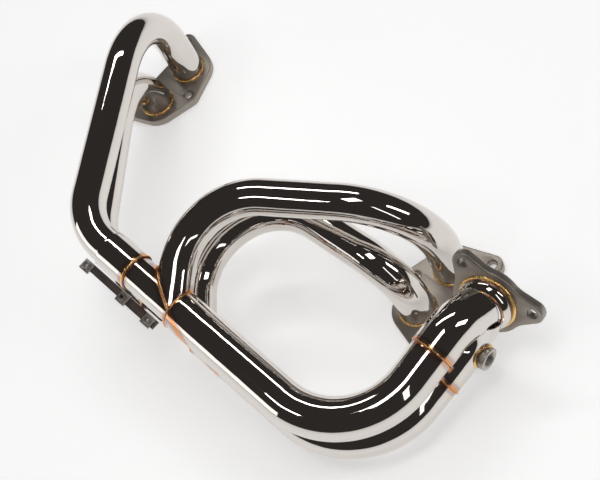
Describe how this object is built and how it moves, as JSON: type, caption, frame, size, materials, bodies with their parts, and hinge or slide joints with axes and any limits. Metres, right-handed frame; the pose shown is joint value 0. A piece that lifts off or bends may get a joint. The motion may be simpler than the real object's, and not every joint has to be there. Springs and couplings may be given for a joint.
{
  "type": "exhaust manifold",
  "caption": "Stainless 4-2-1 turbo header for a flat-four: bent primaries, slip joints, paired secondaries and a merged outlet elbow with a sensor boss.",
  "frame": {"origin": "centre of the near (right) head flange, on its mating face", "axes": "+Z away from the head faces, +Y along the port row toward the outlet end, -X toward the far (left) head flange"},
  "size_m": [0.7023, 0.3507, 0.1917],
  "materials": {
    "polished_stainless": "mirror polished",
    "flange_steel": "satin, as cut",
    "weld": "heat-tinted weld bead",
    "boss_steel": "turned",
    "bracket_steel": "pressed sheet"
  },
  "bodies": {
    "main_header": {"right_head_flange": "flange_steel", "right_upper_primary": "polished_stainless", "right_lower_primary": "polished_stainless", "right_upper_port_weld": "weld", "right_lower_port_weld": "weld", "upper_slip_sleeve": "polished_stainless", "lower_slip_sleeve": "polished_stainless", "upper_sleeve_weld": "weld", "lower_sleeve_weld": "weld", "upper_branch_tube": "polished_stainless", "lower_branch_tube": "polished_stainless", "upper_mitre_weld": "weld", "lower_mitre_weld": "weld", "upper_merge_weld": "weld", "lower_merge_weld": "weld", "upper_secondary": "polished_stainless", "lower_secondary": "polished_stainless", "upper_secondary_weld": "weld", "lower_secondary_weld": "weld", "upper_outlet_elbow": "polished_stainless", "lower_outlet_elbow": "polished_stainless", "outlet_collar": "polished_stainless", "elbow_collar_weld": "weld", "outlet_flange": "flange_steel", "outlet_flange_weld": "weld", "sensor_bung": "boss_steel", "sensor_bung_weld": "weld", "shield_bracket": "bracket_steel", "bracket_pads": "bracket_steel", "bracket_nuts": "bracket_steel"},
    "left_bank": {"left_head_flange": "flange_steel", "left_upper_primary": "polished_stainless", "left_lower_primary": "polished_stainless", "left_upper_port_weld": "weld", "left_lower_port_weld": "weld"}
  },
  "joints": [
    {"name": "slip_joint_slide", "type": "slide", "parent": "main_header", "child": "left_bank", "axis": [-0.9901, 0.028, 0.1375], "range_m": [0, 0.028]}
  ]
}
